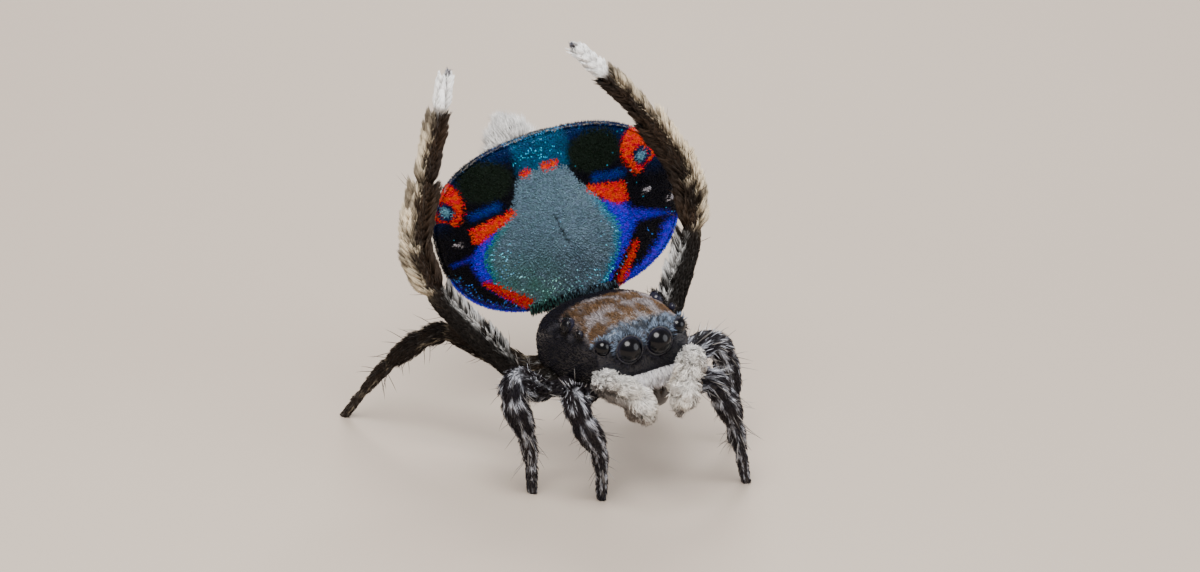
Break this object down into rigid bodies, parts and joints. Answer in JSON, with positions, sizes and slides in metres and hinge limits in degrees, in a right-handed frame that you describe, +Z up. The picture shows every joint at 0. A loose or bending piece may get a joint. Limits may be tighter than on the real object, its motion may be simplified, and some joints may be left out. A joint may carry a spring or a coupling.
{
  "type": "peacock spider model",
  "caption": "Life-size still model of a displaying male peacock spider: raised patterned fan, third legs held up, bushy white palps.",
  "frame": {"origin": "on the floor, under the middle of the whole animal's box, between the feet", "axes": "+Z up; the spider faces -Y; its left side is +X"},
  "size_m": [0.0049, 0.0044, 0.0055],
  "materials": {
    "carapace": "dark scaled cuticle with brown forehead scales",
    "fan_scales": "fine iridescent blue-green scales with red bars and black patches",
    "leg_coat": "dark hairs with white stripes and fringes",
    "palp_coat": "long white hairs",
    "eye": "polished black",
    "jaw": "shiny dark brown cuticle",
    "belly_coat": "grey-white hairs"
  },
  "bodies": {
    "root": {"abdomen": "fan_scales", "cephalothorax": "carapace", "chelicera_left": "jaw", "chelicera_right": "jaw", "eye_front_middle_left": "eye", "eye_front_middle_right": "eye", "eye_front_side_left": "eye", "eye_front_side_right": "eye", "eye_rear_side_left": "eye", "eye_rear_side_right": "eye", "eye_rear_small_left": "eye", "eye_rear_small_right": "eye", "fan_flap_left": "fan_scales", "fan_flap_right": "fan_scales", "leg_l1_femur": "leg_coat", "leg_l1_foot": "leg_coat", "leg_l1_tibia": "leg_coat", "leg_l2_femur": "leg_coat", "leg_l2_foot": "leg_coat", "leg_l2_tibia": "leg_coat", "leg_l3_femur": "leg_coat", "leg_l3_foot": "leg_coat", "leg_l3_tibia": "leg_coat", "leg_l4_femur": "leg_coat", "leg_l4_foot": "leg_coat", "leg_l4_tibia": "leg_coat", "leg_r1_femur": "leg_coat", "leg_r1_foot": "leg_coat", "leg_r1_tibia": "leg_coat", "leg_r2_femur": "leg_coat", "leg_r2_foot": "leg_coat", "leg_r2_tibia": "leg_coat", "leg_r3_femur": "leg_coat", "leg_r3_foot": "leg_coat", "leg_r3_tibia": "leg_coat", "leg_r4_femur": "leg_coat", "leg_r4_foot": "leg_coat", "leg_r4_tibia": "leg_coat", "palp_arm_left": "palp_coat", "palp_arm_right": "palp_coat", "palp_bulb_left": "palp_coat", "palp_bulb_right": "palp_coat", "pedicel": "jaw", "spinnerets": "belly_coat"}
  },
  "joints": []
}
